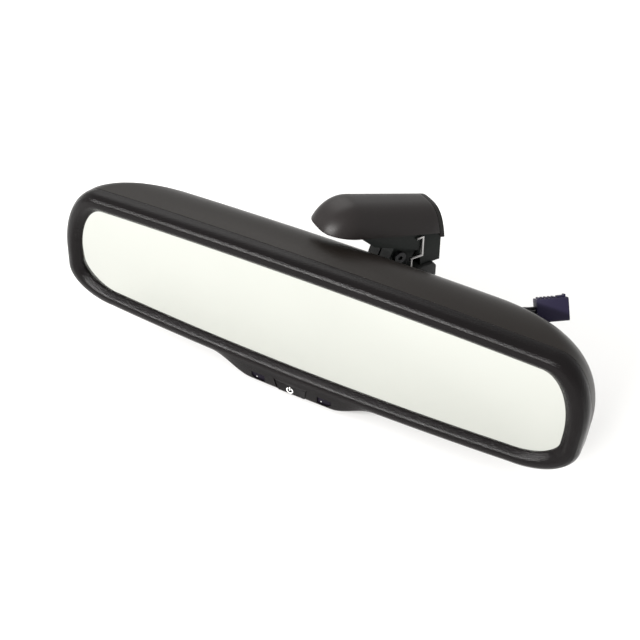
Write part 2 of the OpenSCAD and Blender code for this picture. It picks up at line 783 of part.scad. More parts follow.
// Bent steel strip on each side of the foot, joined across its lower end
module spring_clip() {
    side_in = beam_half + 0.05;
    low = 13.5;
    color("#c7cbce") seat_frame() {
        for (side = [-1, 1]) mirror([side > 0 ? 0 : 1, 0, 0]) {
            slab([side_in, -8, -5.2], [side_in + clip_t, 2 + clip_t, -5.2 + clip_t]);
            slab([side_in, 2, -11], [side_in + clip_t, 2 + clip_t, -5.2 + touch]);
            slab([side_in, 2, -11], [side_in + clip_t, low, -11 + clip_t]);
            slab([side_in, -8, -8], [side_in + clip_t, -8 + clip_t, -5.2 + touch]);
        }
        slab([-side_in - clip_t, low - touch, -11], [side_in + clip_t, low + 4, -11 + clip_t]);
    }
}

// Chamfered block that closes the lower end of the channel
module lock_block() {
    c = 1.8;
    y0 = foot_down + 0.05;
    y1 = foot_down + 9;
    z0 = -8.4;
    z1 = 3.2;
    color("#2a2b2c") seat_frame() translate([-block_half, 0, 0]) rotate([90, 0, 90])
        linear_extrude(2 * block_half)
            polygon([[y0, z0], [y1 - c, z0], [y1, z0 + c], [y1, z1 - c], [y1 - c, z1], [y0 + c, z1],
                [y0, z1 - c]]);
}

// One arch across the hood at f along its line, set in by a wall
function hood_arch(f, wall) =
    let (t = clamp01((f + hood_nose - wall) / nose_len), e = sqrt(max(0.0004, 1 - (1 - t) * (1 - t))),
         w = (hood_w / 2 - wall) * (0.3 + 0.7 * e), base = 18,
         top = base + 8 + (hood_crown - wall + 0.09 * f - base - 8) * e)
    [for (i = [0:steps_arch]) let (a = 180 * i / steps_arch, ca = cos(a), sa = sin(a))
        [-w * sign(ca) * pow(abs(ca), 2 / arch_power), f, base + (top - base) * pow(abs(sa),
            2 / arch_power)]];

nose_len = 15;
arch_power = 3;
hood_ends = 46;

module hood_solid(wall) {
    start = -hood_nose + wall;
    stations = [for (k = [0, 0.5, 1.5, 3, 5.5, 8.5, nose_len]) start + k];
    loft([for (f = concat(stations, [0, 20, hood_ends + wall])) hood_arch(f, wall)]);
}

// Hood shell between its leg line and a slice of the seat frame
module hood_shell(z_from, z_to, lower) {
    difference() {
        hood_solid(0);
        hood_solid(hood_wall);
        translate([0, 0, leg_low - lower]) rotate([atan(leg_rise), 0, 0]) slab([-40, -60, -40], [40, 90,
            0]);
        translate([0, seat_f, seat_c]) rotate([seat_rake - 90, 0, 0]) slab([-40, -90, z_to], [40, 90, 60]);
        translate([0, seat_f, seat_c]) rotate([seat_rake - 90, 0, 0]) slab([-40, -90, -200], [40, 90,
            z_from]);
    }
}

module mount_hood() {
    rim_from = rail_top - 0.2 - rim_w;
    color("#33302f") mount_frame() {
        hood_shell(-150, rim_from - 0.2, 0);
        for (f = [4, 18]) intersection() {
            hood_solid(hood_wall - 0.3);
            slab([-hood_w / 2, f, beam_high], [hood_w / 2, f + 1.5, hood_crown + 10]);
        }
    }
}

module hood_rim() {
    color("#232120") mount_frame() hood_shell(rail_top - 0.2 - rim_w, rail_top - 0.2, rim_tab);
}

bezel();
rear_housing();
front_glass();
dimming_gel();
gel_seal();
rear_glass();
bus_clips();
foam_pad();
carrier_plate();
circuit_board();
board_chips();
board_header();
tact_switch();
indicator_led();
glare_sensor();
ambient_sensor();
ambient_lens();
indicator_window();
sensor_window();
power_button();
power_symbol();
switch_plunger();
ball_liner();
spring_cup();
ball_socket();
socket_screws();
inner_lead();
lead_grommet();
lead_clips();
harness_lead();
connector_body();
connector_lock();
connector_pins();
ball_stud();
mount_bracket();
clamp_screw();
spring_clip();
lock_block();
mount_hood();
hood_rim();
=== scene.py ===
import json
import math

import bmesh
import bpy
from mathutils import Matrix, Vector


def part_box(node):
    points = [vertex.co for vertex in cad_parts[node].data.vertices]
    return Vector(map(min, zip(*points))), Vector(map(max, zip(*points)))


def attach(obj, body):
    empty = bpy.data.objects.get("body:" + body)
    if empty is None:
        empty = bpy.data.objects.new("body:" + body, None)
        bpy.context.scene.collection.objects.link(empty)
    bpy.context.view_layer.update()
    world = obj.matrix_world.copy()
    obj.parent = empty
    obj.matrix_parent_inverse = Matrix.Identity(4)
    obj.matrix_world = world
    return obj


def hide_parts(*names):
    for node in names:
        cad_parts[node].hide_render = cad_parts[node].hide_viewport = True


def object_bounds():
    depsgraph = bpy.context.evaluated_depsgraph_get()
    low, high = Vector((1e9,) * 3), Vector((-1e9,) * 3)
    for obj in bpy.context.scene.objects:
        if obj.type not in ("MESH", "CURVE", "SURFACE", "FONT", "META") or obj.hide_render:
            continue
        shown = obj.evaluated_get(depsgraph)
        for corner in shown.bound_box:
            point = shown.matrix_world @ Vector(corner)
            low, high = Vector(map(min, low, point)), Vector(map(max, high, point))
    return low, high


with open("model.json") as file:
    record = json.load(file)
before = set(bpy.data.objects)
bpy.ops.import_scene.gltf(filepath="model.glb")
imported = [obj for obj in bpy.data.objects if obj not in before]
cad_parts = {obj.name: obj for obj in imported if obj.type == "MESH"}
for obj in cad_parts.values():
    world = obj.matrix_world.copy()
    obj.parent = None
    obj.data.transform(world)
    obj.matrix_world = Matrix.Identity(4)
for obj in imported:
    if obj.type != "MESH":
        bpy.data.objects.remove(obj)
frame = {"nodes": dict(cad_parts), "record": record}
solids_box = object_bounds()
BODY = {name: body for body, names in frame["record"]["behaviour"]["bodies"].items() for name in names}

# ---------- sizes, in millimetres, in the mirror head's own frame ----------

GLASS_W, GLASS_H = 238.0, 49.0
TOP_DROP, BOTTOM_RISE = 2.1, 4.8
CORNER_TOP, CORNER_BOTTOM = (14.8, 28.0), (20.8, 11.5)
GLASS_LAP, GLASS_T = 2.6, 2.0
RING_W, RIDGE_H = 8.5, 3.4
SEAM_Y, HOUSING_D, WALL, SEAM_GAP = 4.5, 33.5, 2.2, 0.2
POD_X, POD_W, POD_BLEND, POD_DROP = -3.0, 42.0, 21.0, 7.7
BUTTON_X, BUTTON_W, BUTTON_H, BUTTON_TAPER, BUTTON_GAP = -2.6, 16.6, 6.2, 0.9, 0.3
WINDOW_W, WINDOW_H = 6.8, 3.6
BALL_Y, BALL_Z, SOCKET_R = 34.0, 4.0, 12.2
REST_PAN, REST_NOD, SEAT_RAKE = 35.0, 16.6, 22.0
HOOD_W, HOOD_WALL, HOOD_NOSE, NOSE_L, HOOD_END = 28.0, 1.8, 22.0, 15.0, 46.0
LEG_LOW, LEG_RISE = 30.2, 0.126
HOOD_CROWN = LEG_LOW + 12.3
SEAT_F, SEAT_C = 36.0, LEG_LOW - 4.2
RAIL_TOP, RIM_W, RIM_TAB = 5.6, 2.2, 1.9
LEAD_D, WIRE_R, WIRE_RING = 4.4, 0.55, 1.35
BACK_Y = SEAM_Y + HOUSING_D
BACK_POWER, ARCH_POWER = 3.2, 3.0

glass_low, glass_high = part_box("front_glass")
HEAD = Vector(((glass_low.x + glass_high.x) / 2, glass_low.y,
               glass_high.z - (GLASS_H / 2 + GLASS_LAP) / 1000))
head_frame = Matrix.Translation(HEAD) @ Matrix.Scale(0.001, 4)


def turn(degrees, axis):
    return Matrix.Rotation(math.radians(degrees), 4, axis)


mount_frame = (head_frame @ Matrix.Translation((0, BALL_Y, BALL_Z)) @ turn(-REST_PAN, "Z")
               @ turn(-REST_NOD, "X"))
seat_frame = mount_frame @ Matrix.Translation((0, SEAT_F, SEAT_C)) @ turn(SEAT_RAKE - 90, "X")


# ---------- camera, floor and lights ----------

def set_camera():
    bpy.ops.object.camera_add(location=head_frame @ Vector((150.4, -309.6, 267.3)))
    camera = bpy.context.object
    right, up, back = (0.885, 0.46, 0.065), (-0.326, 0.516, 0.792), (0.331, -0.722, 0.607)
    camera.rotation_euler = Matrix((right, up, back)).transposed().to_euler()
    camera.data.lens = 56.25
    camera.data.sensor_width = 36.0
    camera.data.clip_end = 20.0
    bpy.context.scene.camera = camera
    bpy.context.scene.view_settings.view_transform = "Standard"


AIR = 0.97
TOP_POWER, SIDE_POWER, CREST_POWER = 4.0, 0.8, 17.0
FLOOR_SIZE, FLOOR_DROP = 8.0, 0.0008


def softbox(name, place, aim, size, power, tint):
    """A rectangular lamp that faces a point."""
    bpy.ops.object.light_add(type="AREA", location=place)
    lamp = bpy.context.object
    lamp.name = name
    lamp.data.shape = "RECTANGLE"
    lamp.data.size, lamp.data.size_y = size
    lamp.data.energy = power
    lamp.data.color = tint
    lamp.rotation_euler = (Vector(aim) - Vector(place)).to_track_quat("-Z", "Y").to_euler()


def set_studio():
    low = solids_box[0]
    bpy.ops.mesh.primitive_plane_add(size=FLOOR_SIZE, location=(0, 0, low.z - FLOOR_DROP))
    floor = bpy.context.object
    floor.name = "studio_floor"
    finish = Finish("pale_floor")
    mottle = finish.node("TexNoise", {}, {"Vector": finish.place(), "Scale": 3.0, "Detail": 2.0})
    pale = finish.blend(mottle, (0.90, 0.90, 0.895), (0.93, 0.93, 0.925))
    finish.surface({"Base Color": pale, "Roughness": 0.9})
    put_on(floor, finish)

    sky = bpy.data.worlds.new("studio_air")
    bpy.context.scene.world = sky
    sky.use_nodes = True
    air = sky.node_tree.nodes["Background"]
    air.inputs["Color"].default_value = (1.0, 0.995, 0.985, 1.0)
    air.inputs["Strength"].default_value = AIR
    softbox("top_softbox", (-0.62, 0.50, 0.85), (-0.08, 0.0, 0.0), (0.8, 0.6), TOP_POWER,
            (1.0, 0.99, 0.97))
    softbox("side_softbox", (-0.9, -0.5, 0.6), (0.0, -0.05, 0.0), (0.7, 0.7), SIDE_POWER,
            (1.0, 1.0, 1.0))
    softbox("crest_softbox", (-0.30, -0.90, 0.42), (0.0, -0.05, 0.0), (0.8, 0.045), CREST_POWER,
            (1.0, 0.99, 0.98))


# ---------- finishes ----------

class Value:
    """A socket in a finish, on which plain arithmetic adds Math nodes."""

    def __init__(self, finish, socket):
        self.finish, self.socket = finish, socket

    def _math(self, kind, first, second=0.0):
        return self.finish.node("Math", {"operation": kind}, {0: first, 1: second})

    def __add__(self, other): return self._math("ADD", self, other)
    def __radd__(self, other): return self._math("ADD", other, self)
    def __sub__(self, other): return self._math("SUBTRACT", self, other)
    def __rsub__(self, other): return self._math("SUBTRACT", other, self)
    def __mul__(self, other): return self._math("MULTIPLY", self, other)
    def __gt__(self, other): return self._math("GREATER_THAN", self, other)
    def __lt__(self, other): return self._math("LESS_THAN", self, other)

    def clip(self):
        return self.finish.node("Clamp", {}, {"Value": self})

    def to(self, low, high):
        """Maps low and high to 0 and 1."""
        return (self - low) * (1.0 / (high - low))


class Finish:
    """A material made of nodes."""

    def __init__(self, name):
        self.material = bpy.data.materials.new(name)
        self.material.use_nodes = True
        self.tree = self.material.node_tree
        self.tree.nodes.clear()

    def node(self, kind, settings, values, out=0):
        made = self.tree.nodes.new("ShaderNode" + kind)
        for key, setting in settings.items():
            setattr(made, key, setting)
        for key, value in values.items():
            if isinstance(value, Value):
                self.tree.links.new(value.socket, made.inputs[key])
            elif isinstance(value, tuple) and len(value) == 3 and made.inputs[key].type == "RGBA":
                made.inputs[key].default_value = (*value, 1.0)
            else:
                made.inputs[key].default_value = value
        return Value(self, made.outputs[out]) if made.outputs else None

    def place(self, own_map=False):
        return self.node("TexCoord", {}, {}, out="UV" if own_map else "Object")

    def blend(self, factor, first, second):
        return self.node("Mix", {"data_type": "RGBA"}, {0: factor, 6: first, 7: second}, out=2)

    def noise(self, scale, detail=3.0, rough=0.5):
        return self.node("TexNoise", {}, {"Vector": self.place(), "Scale": scale, "Detail": detail,
                                          "Roughness": rough})

    def bump(self, height, distance, strength=1.0, over=None):
        values = {"Height": height, "Distance": distance, "Strength": strength}
        if over is not None:
            values["Normal"] = over
        return self.node("Bump", {}, values)

    def surface(self, values):
        shader = self.node("BsdfPrincipled", {}, values)
        self.node("OutputMaterial", {}, {"Surface": shader})
        return self


def put_on(piece, finish):
    piece.data.materials.clear()
    piece.data.materials.append(finish.material)


def moulded(name, dark, light, rough, grain, depth, broad=28.0, gleam=0.3):
    """Moulded plastic: a fine spark-eroded grain, broad drifts of tone, and a little handling shine."""
    f = Finish(name)
    fine = f.noise(grain, 4.0, rough=0.65)
    drift = f.noise(broad, 3.0)
    shine = f.noise(broad * 3.1, 4.0)
    tone = f.blend((fine * 0.45 + drift * 0.55).clip(), dark, light)
    return f.surface({"Base Color": tone,
                      "Roughness": (rough + (fine - 0.5) * 0.22 + (shine - 0.5) * 0.10).clip(),
                      "Normal": f.bump(fine, depth, 0.8), "Specular IOR Level": gleam})


def metal(name, dark, light, rough, scale, depth):
    """Bright metal with fine pitting under broad clouds of tone."""
    f = Finish(name)
    pitch = f.noise(scale, 5.0, rough=0.6)
    cloud = f.noise(scale / 22.0, 3.0)
    tone = f.blend((pitch * 0.5 + cloud * 0.5).clip(), dark, light)
    return f.surface({"Base Color": tone, "Metallic": 1.0,
                      "Roughness": (rough + (pitch - 0.5) * 0.25 + (cloud - 0.5) * 0.12).clip(),
                      "Normal": f.bump(pitch, depth, 0.6)})


def mirror_finish():
    """Silver behind a faintly green glass, with a soft haze that is only just there."""
    f = Finish("tinted_silver")
    haze = f.noise(9.0, 3.0)
    specks = f.noise(900.0, 2.0)
    tint = f.blend(haze.clip(), (0.465, 0.474, 0.444), (0.52, 0.53, 0.498))
    f.surface({"Base Color": tint, "Metallic": 1.0,
               "Roughness": (0.035 + (haze - 0.5) * 0.03 + (specks - 0.5) * 0.01).clip(),
               "Coat Weight": 0.1, "Coat Roughness": 0.02})
    return f


def board_finish():
    """Green solder mask with copper tracks under it and tinned pads."""
    f = Finish("solder_mask")
    where = f.place()
    flat = f.node("Mapping", {}, {"Vector": where, "Rotation": (math.pi / 2, 0, 0)})
    tracks = f.node("TexBrick", {"offset": 0.5}, {"Vector": flat, "Scale": 120.0, "Mortar Size": 0.03,
                                                  "Mortar Smooth": 0.3}, out="Fac")
    pads = f.node("TexVoronoi", {}, {"Vector": where, "Scale": 420.0}, out="Distance") < 0.22
    mask = f.blend(tracks * 0.8, (0.012, 0.075, 0.035), (0.03, 0.15, 0.065))
    tinned = f.blend(pads * (f.noise(60.0) > 0.56), mask, (0.62, 0.60, 0.55))
    f.surface({"Base Color": tinned, "Roughness": 0.38 + tracks * 0.1,
               "Metallic": pads * 0.3, "Normal": f.bump(tracks, 0.00006, 0.6)})
    return f


def window_finish(name, spot):
    """Dark violet acrylic over a small pale die."""
    f = Finish(name)
    away = f.node("VectorMath", {"operation": "DISTANCE"},
                  {0: f.place(), 1: tuple(head_frame @ Vector(spot))}, out="Value")
    die = 1.0 - (away.to(0.00012, 0.00032)).clip()
    smoke = f.noise(240.0, 2.0)
    violet = f.blend(smoke, (0.0035, 0.0025, 0.0055), (0.008, 0.006, 0.012))
    f.surface({"Base Color": f.blend(die, violet, (0.85, 0.86, 0.84)), "Roughness": 0.30 + smoke * 0.10,
               "Specular IOR Level": 0.06, "Coat Weight": 0.02, "Coat Roughness": 0.10})
    return f


def tape_finish():
    """Cloth tape wound round the lead, with its overlaps and weave."""
    f = Finish("wound_tape")
    around = f.node("SeparateXYZ", {}, {"Vector": f.place(own_map=True)}, out="X")
    along = f.node("SeparateXYZ", {}, {"Vector": f.place(own_map=True)}, out="Y")
    turns = f.node("Math", {"operation": "FRACT"}, {0: along * 16.0 + around})
    edge = 1.0 - (turns * 9.0).clip()
    warp = f.node("Math", {"operation": "SINE"}, {0: around * 190.0})
    weft = f.node("Math", {"operation": "SINE"}, {0: along * 1500.0})
    weave = (warp * weft * 0.5 + 0.5).clip()
    tone = f.blend((weave * 0.6 + f.noise(500.0) * 0.4).clip(), (0.006, 0.006, 0.007),
                   (0.022, 0.022, 0.024))
    f.surface({"Base Color": tone, "Roughness": 0.55 + weave * 0.2,
               "Normal": f.bump(weave, 0.00004, 0.5, over=f.bump(turns - edge, 0.00018, 0.8))})
    return f


def foam_finish():
    """Open cells on a cut face."""
    f = Finish("cut_foam")
    cells = f.node("TexVoronoi", {}, {"Vector": f.place(), "Scale": 1800.0}, out="Distance")
    tone = f.blend(cells.clip(), (0.02, 0.02, 0.022), (0.09, 0.09, 0.095))
    f.surface({"Base Color": tone, "Roughness": 0.95, "Normal": f.bump(cells, 0.0002)})
    return f


def clear_finish(name, tint, cloudy):
    """A smooth tinted cap or pane, slightly cloudy."""
    f = Finish(name)
    cloud = f.noise(300.0, 3.0)
    f.surface({"Base Color": f.blend(cloud.clip(), tint, cloudy), "Roughness": 0.12 + cloud * 0.08,
               "Coat Weight": 0.5, "Coat Roughness": 0.05})
    return f


def printed_finish():
    """White ink, a little uneven."""
    f = Finish("white_print")
    ink = f.noise(2600.0, 3.0)
    tone = f.blend(ink.clip(), (0.78, 0.78, 0.77), (0.95, 0.95, 0.94))
    return f.surface({"Base Color": tone, "Roughness": 0.45 + ink * 0.1})


case_gloss = moulded("bezel_black", (0.0028, 0.0022, 0.0023), (0.0062, 0.0052, 0.0054),
                     0.18, 1300.0, 0.00016, gleam=0.10)
case_satin = moulded("housing_black", (0.0072, 0.0056, 0.0046), (0.0112, 0.0090, 0.0075),
                     0.34, 1900.0, 0.000022, gleam=0.13)
hood_plastic = moulded("hood_black", (0.0085, 0.0068, 0.0066), (0.0130, 0.0106, 0.0102),
                       0.40, 1700.0, 0.000025, gleam=0.22)
rim_plastic = moulded("hood_rim_black", (0.0085, 0.0078, 0.0075), (0.0130, 0.0120, 0.0114),
                      0.46, 1700.0, 0.000025, gleam=0.18)
cast_black = moulded("painted_casting", (0.0040, 0.0052, 0.0047), (0.0095, 0.0118, 0.0105),
                     0.40, 900.0, 0.00006, broad=60.0, gleam=0.16)
block_black = moulded("lock_black", (0.0080, 0.0084, 0.0080), (0.0135, 0.0140, 0.0135),
                      0.52, 1500.0, 0.00003)
button_black = moulded("button_black", (0.0055, 0.0050, 0.0052), (0.0110, 0.0100, 0.0104),
                       0.40, 2200.0, 0.00002, gleam=0.12)
inner_black = moulded("inner_black", (0.010, 0.010, 0.011), (0.022, 0.022, 0.023),
                      0.55, 1400.0, 0.00003)
rubber_black = moulded("soft_rubber", (0.006, 0.006, 0.006), (0.014, 0.014, 0.014),
                       0.72, 1300.0, 0.00003)
indigo = moulded("connector_indigo", (0.0105, 0.0085, 0.0230), (0.0165, 0.0135, 0.0350),
                 0.45, 1600.0, 0.00002, gleam=0.15)
natural = moulded("natural_nylon", (0.70, 0.67, 0.58), (0.80, 0.77, 0.68), 0.45, 800.0, 0.00002)
epoxy = moulded("chip_epoxy", (0.012, 0.012, 0.013), (0.024, 0.024, 0.025), 0.6, 2400.0, 0.00002)
wire_black = moulded("wire_black", (0.006, 0.006, 0.007), (0.014, 0.014, 0.016), 0.35, 1200.0, 0.00001)
bright_strip = metal("bright_strip", (0.34, 0.33, 0.33), (0.50, 0.49, 0.48), 0.30, 2200.0, 0.00001)
zinc = metal("zinc_screws", (0.52, 0.53, 0.55), (0.74, 0.75, 0.77), 0.30, 1800.0, 0.000012)
black_zinc = metal("black_zinc_screw", (0.045, 0.045, 0.047), (0.085, 0.085, 0.088),
                   0.34, 1800.0, 0.000012)
ball_metal = metal("ball_steel", (0.36, 0.37, 0.38), (0.55, 0.56, 0.57), 0.22, 1500.0, 0.000008)
copper = metal("copper_strip", (0.72, 0.38, 0.22), (0.90, 0.55, 0.36), 0.28, 1500.0, 0.00001)
gold = metal("tinned_pins", (0.78, 0.60, 0.28), (0.92, 0.76, 0.42), 0.22, 2000.0, 0.000006)
silver = mirror_finish()
printed = printed_finish()


# ---------- shaping ----------

def only(*pieces):
    bpy.ops.object.select_all(action="DESELECT")
    for piece in pieces:
        piece.select_set(True)
    bpy.context.view_layer.objects.active = pieces[0]


def in_edit(piece, work, mode="VERT", everything=True):
    """Runs the operators of work on a piece in edit mode."""
    only(piece)
    bpy.ops.object.mode_set(mode="EDIT")
    bpy.ops.mesh.select_mode(type=mode)
    bpy.ops.mesh.select_all(action="SELECT" if everything else "DESELECT")
    work()
    bpy.ops.object.mode_set(mode="OBJECT")


def pick(piece, test):
    """In edit mode, selects the faces that pass a test of their middle and normal, in metres."""
    bpy.ops.mesh.select_mode(type="FACE")
    shape = bmesh.from_edit_mesh(piece.data)
    for face in shape.faces:
        face.select = test(face.calc_center_median(), face.normal)
    bmesh.update_edit_mesh(piece.data)


def drape(name, rings, closed=False):
    """A grid laid over rings of points and sewn along its side; closed also joins the last to the first."""
    rings = list(rings) + ([rings[0]] if closed else [])
    across = len(rings[0])
    bpy.ops.object.select_all(action="DESELECT")
    bpy.ops.mesh.primitive_grid_add(x_subdivisions=across, y_subdivisions=len(rings) - 1, size=1.0)
    piece = bpy.context.object
    piece.name = piece.data.name = name
    row = across + 1
    assert len(piece.data.vertices) == row * len(rings), "grid size"
    for vertex in piece.data.vertices:
        vertex.co = rings[vertex.index // row][(vertex.index % row) % across]

    def sew():
        bpy.ops.mesh.remove_doubles(threshold=1e-7)
        bpy.ops.mesh.select_all(action="DESELECT")
        bpy.ops.mesh.select_non_manifold(extend=False, use_wire=False, use_multi_face=False,
                                         use_non_contiguous=False, use_verts=False)
        bpy.ops.mesh.fill_holes(sides=0)
        bpy.ops.mesh.select_all(action="SELECT")
        bpy.ops.mesh.normals_make_consistent(inside=False)
    in_edit(piece, sew)
    return piece


def settle(piece):
    """Leaves the piece at the origin, unturned and unscaled."""
    only(piece)
    bpy.ops.object.transform_apply(location=True, rotation=True, scale=True)


def carve(piece, *tools):
    """Cuts each tool out of the piece and removes the tool."""
    for tool in tools:
        only(piece)
        step = piece.modifiers.new("carve", "BOOLEAN")
        step.operation, step.object, step.solver = "DIFFERENCE", tool, "EXACT"
        bpy.ops.object.modifier_apply(modifier=step.name)
        bpy.data.objects.remove(tool)


def smooth(piece, angle):
    only(piece)
    bpy.ops.object.shade_smooth_by_angle(angle=math.radians(angle))


def soften(piece, width, segments=2, angle=34.0):
    """Rounds the piece's sharp edges by a width in millimetres."""
    only(piece)
    step = piece.modifiers.new("edge", "BEVEL")
    step.limit_method, step.angle_limit = "ANGLE", math.radians(angle)
    step.width, step.segments = width / 1000, segments
    bpy.ops.object.modifier_apply(modifier=step.name)
    smooth(piece, 40)


def mount_on(piece, body, finish, slot, *stands_for):
    """Gives a piece its finish and body, and hides the solids it stands for, which it is given by name; slot
    is not used.
    """
    put_on(piece, finish)
    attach(piece, body)
    if stands_for:
        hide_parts(*stands_for)


def eased(node, width, finish, slot):
    """A solid's own shape with its edges eased, which stands for it."""
    source = frame["nodes"][node]
    piece = bpy.data.objects.new(node + "_eased", source.data.copy())
    bpy.context.scene.collection.objects.link(piece)

    def clean():
        bpy.ops.mesh.customdata_custom_splitnormals_clear()
        bpy.ops.mesh.remove_doubles(threshold=2e-6)
        bpy.ops.mesh.dissolve_limited(angle_limit=math.radians(1.0))
    in_edit(piece, clean)
    soften(piece, width)
    mount_on(piece, BODY[node], finish, slot, node)


def prism(name, corners, y_front, y_back, at):
    """An extruded outline: corners are x and z, and the depth runs along y."""
    bpy.ops.object.select_all(action="DESELECT")
    bpy.ops.mesh.primitive_circle_add(vertices=len(corners), radius=1.0, fill_type="NGON")
    piece = bpy.context.object
    piece.name = piece.data.name = name
    for vertex, (x, z) in zip(piece.data.vertices, corners):
        vertex.co = at @ Vector((x, y_front, z))
    reach = (at @ Vector((0, y_back, 0))) - (at @ Vector((0, y_front, 0)))

    def pull():
        bpy.ops.mesh.extrude_region_move(TRANSFORM_OT_translate={"value": reach})
        bpy.ops.mesh.select_all(action="SELECT")
        bpy.ops.mesh.normals_make_consistent(inside=False)
    in_edit(piece, pull, "FACE")
    return piece


def bar(name, centre, radius, y_front, y_back, sides=48):
    """A round bar along the head's depth, for boring."""
    bpy.ops.object.select_all(action="DESELECT")
    middle = head_frame @ Vector((centre[0], (y_front + y_back) / 2, centre[1]))
    bpy.ops.mesh.primitive_cylinder_add(vertices=sides, radius=radius / 1000,
                                        depth=(y_back - y_front) / 1000,
                                        location=middle, rotation=(math.pi / 2, 0, 0))
    piece = bpy.context.object
    piece.name = name
    settle(piece)
    return piece


# ---------- outlines ----------

def ease(t):
    """A smooth step from 0 to 1."""
    t = max(0.0, min(1.0, t))
    return t * t * (3 - 2 * t)


def outline(d, pod=0.0, spread=0.0):
    """Closed x, z outline at an offset from the visible glass, clockwise from the upper left."""
    hw, hh = GLASS_W / 2 + d, GLASS_H / 2 + d
    tw, bw = CORNER_TOP[0] + 0.6 * d + spread, CORNER_BOTTOM[0] + 0.6 * d + spread
    th, bh = CORNER_TOP[1] + 0.6 * d + spread / 3, CORNER_BOTTOM[1] + 0.6 * d + spread / 3
    limit = min(1.0, 0.96 * (2 * hh - TOP_DROP - BOTTOM_RISE) / (th + bh))
    th, bh, xt, xb = th * limit, bh * limit, hw - tw, hw - bw

    def bow(x):
        return (x / (GLASS_W / 2)) ** 2
    zt, zb = hh - TOP_DROP * bow(xt), -hh + BOTTOM_RISE * bow(xb)
    top_steps, turn_steps, low_steps = 52, 22, 120
    turns = [math.pi / 2 * i / turn_steps for i in range(turn_steps + 1)]
    upper = [(xt + tw * math.sin(t), zt - th + th * math.cos(t)) for t in turns[1:]]
    lower = [(xb + bw * math.cos(t), zb + bh - bh * math.sin(t)) for t in turns[:-1]]
    top = [(x, hh - TOP_DROP * bow(x)) for x in (-xt + 2 * xt * i / top_steps for i in range(top_steps + 1))]
    low = []
    for i in range(low_steps + 1):
        x = xb - 2 * xb * i / low_steps
        share = ease((POD_W / 2 + POD_BLEND - abs(x - POD_X)) / POD_BLEND)
        low.append((x, -hh + BOTTOM_RISE * bow(x) - pod * POD_DROP * share))
    mirrored_low = [(-x, z) for x, z in reversed(lower)]
    mirrored_up = [(-x, z) for x, z in reversed(upper)]
    return top + upper + lower + low + mirrored_low + mirrored_up


def ring(d, y, pod=0.0):
    """The outline at an offset and a depth, as points in space."""
    return [head_frame @ Vector((x, y, z)) for x, z in outline(d, pod)]


def back_ring(degrees, wall):
    """One ring of the rear housing's skin, from the seam at 0 to the middle of the back at 90 degrees."""
    q = math.radians(degrees)
    s = math.cos(q) ** (2 / BACK_POWER)
    y = SEAM_Y + (HOUSING_D - wall) * math.sin(q) ** (2 / BACK_POWER)
    xs = 1 - (1 - s) * (GLASS_H / 2 + RING_W) * 3 / (GLASS_W / 2 + RING_W)
    pod = 1 - ease((y - SEAM_Y - 6) / 12)
    return [head_frame @ Vector((x * xs, y, z * s)) for x, z in outline(RING_W - wall, pod, 40 * math.sin(q))]


def filleted(points, shares, steps=5):
    """A section with curved corners: shares say how far along its two sides each corner's curve runs."""
    count, made = len(points), []
    for i, point in enumerate(points):
        before, after = shares[i]
        if not before and not after:
            made.append(point)
            continue
        a = [p + (q - p) * before for p, q in zip(point, points[i - 1])]
        b = [p + (q - p) * after for p, q in zip(point, points[(i + 1) % count])]
        for k in range(steps + 1):
            t = k / steps
            made.append([(1 - t) ** 2 * u + 2 * t * (1 - t) * p + t * t * v for u, p, v in zip(a, point, b)])
    return made


FACE_TOP = (-GLASS_H / 2 - RING_W * 0.66, -RIDGE_H + 0.5)
FACE_BOTTOM = (-GLASS_H / 2 - RING_W * 0.83 - 0.93 * POD_DROP, -RIDGE_H + 1.5)
FACE_SLOPE = (FACE_BOTTOM[1] - FACE_TOP[1]) / (FACE_TOP[0] - FACE_BOTTOM[0])
BUTTON_TOP = FACE_TOP[0] - 3.2
WINDOW_Z = BUTTON_TOP - 2.6
LEFT_WINDOW = BUTTON_X - BUTTON_W / 2 - 5.1 - WINDOW_W / 2
RIGHT_WINDOW = BUTTON_X + BUTTON_W / 2 + 5.7 + WINDOW_W / 2


def face_y(z, recess):
    """Depth of the pod's sloping face at a height, set back by a recess."""
    return FACE_TOP[1] + recess + (FACE_TOP[0] - z) * FACE_SLOPE


def window_corners(x, side, grow):
    """A window's outline; side says which lower corner is cut."""
    w, h = WINDOW_W / 2 + grow, WINDOW_H / 2 + grow
    right, left = (1.6 if side > 0 else 0.0), (1.6 if side < 0 else 0.0)
    shape = [(-w, h), (w, h), (w, -h + right)]
    shape += [(w - right, -h)] if right else []
    shape += [(-w + left, -h)] if left else [(-w, -h)]
    shape += [(-w, -h + left)] if left else []
    return [(x + px, WINDOW_Z + pz) for px, pz in shape]


def button_corners(grow):
    w = BUTTON_W / 2 + grow
    low = BUTTON_TOP - BUTTON_H - grow
    return [(BUTTON_X - w, BUTTON_TOP + grow), (BUTTON_X + w, BUTTON_TOP + grow),
            (BUTTON_X + w - BUTTON_TAPER, low), (BUTTON_X - w + 2 * BUTTON_TAPER, low)]


# ---------- head: case ----------

LAP_OUT, LAP_IN, LAP_FRONT = RING_W - 0.9, RING_W - WALL, SEAM_Y - 1.7

